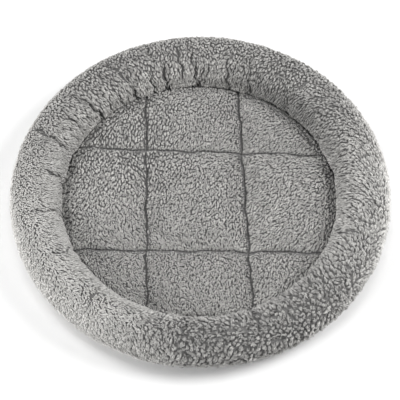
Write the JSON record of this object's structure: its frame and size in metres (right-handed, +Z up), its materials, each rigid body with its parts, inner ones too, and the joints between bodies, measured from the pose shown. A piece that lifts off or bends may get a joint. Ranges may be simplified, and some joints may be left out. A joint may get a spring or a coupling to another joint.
{
  "type": "round cat bed",
  "caption": "Round plush pet bed: a stuffed fleece bolster ring around a quilted floor pad, open on top, with a flat underside.",
  "frame": {"origin": "centre of the bed's underside, on the surface it lies on", "axes": "+Z up out of the bed, -Y towards the front as pictured, +X to the right"},
  "size_m": [0.508, 0.508, 0.0621],
  "materials": {
    "bolster_fleece": "matte lambswool fleece, curly short pile, mid grey",
    "pad_fleece": "matte lambswool fleece, combed short pile, mid grey, quilted"
  },
  "bodies": {
    "root": {"bolster_ring": "bolster_fleece", "floor_pad": "pad_fleece"}
  },
  "joints": []
}
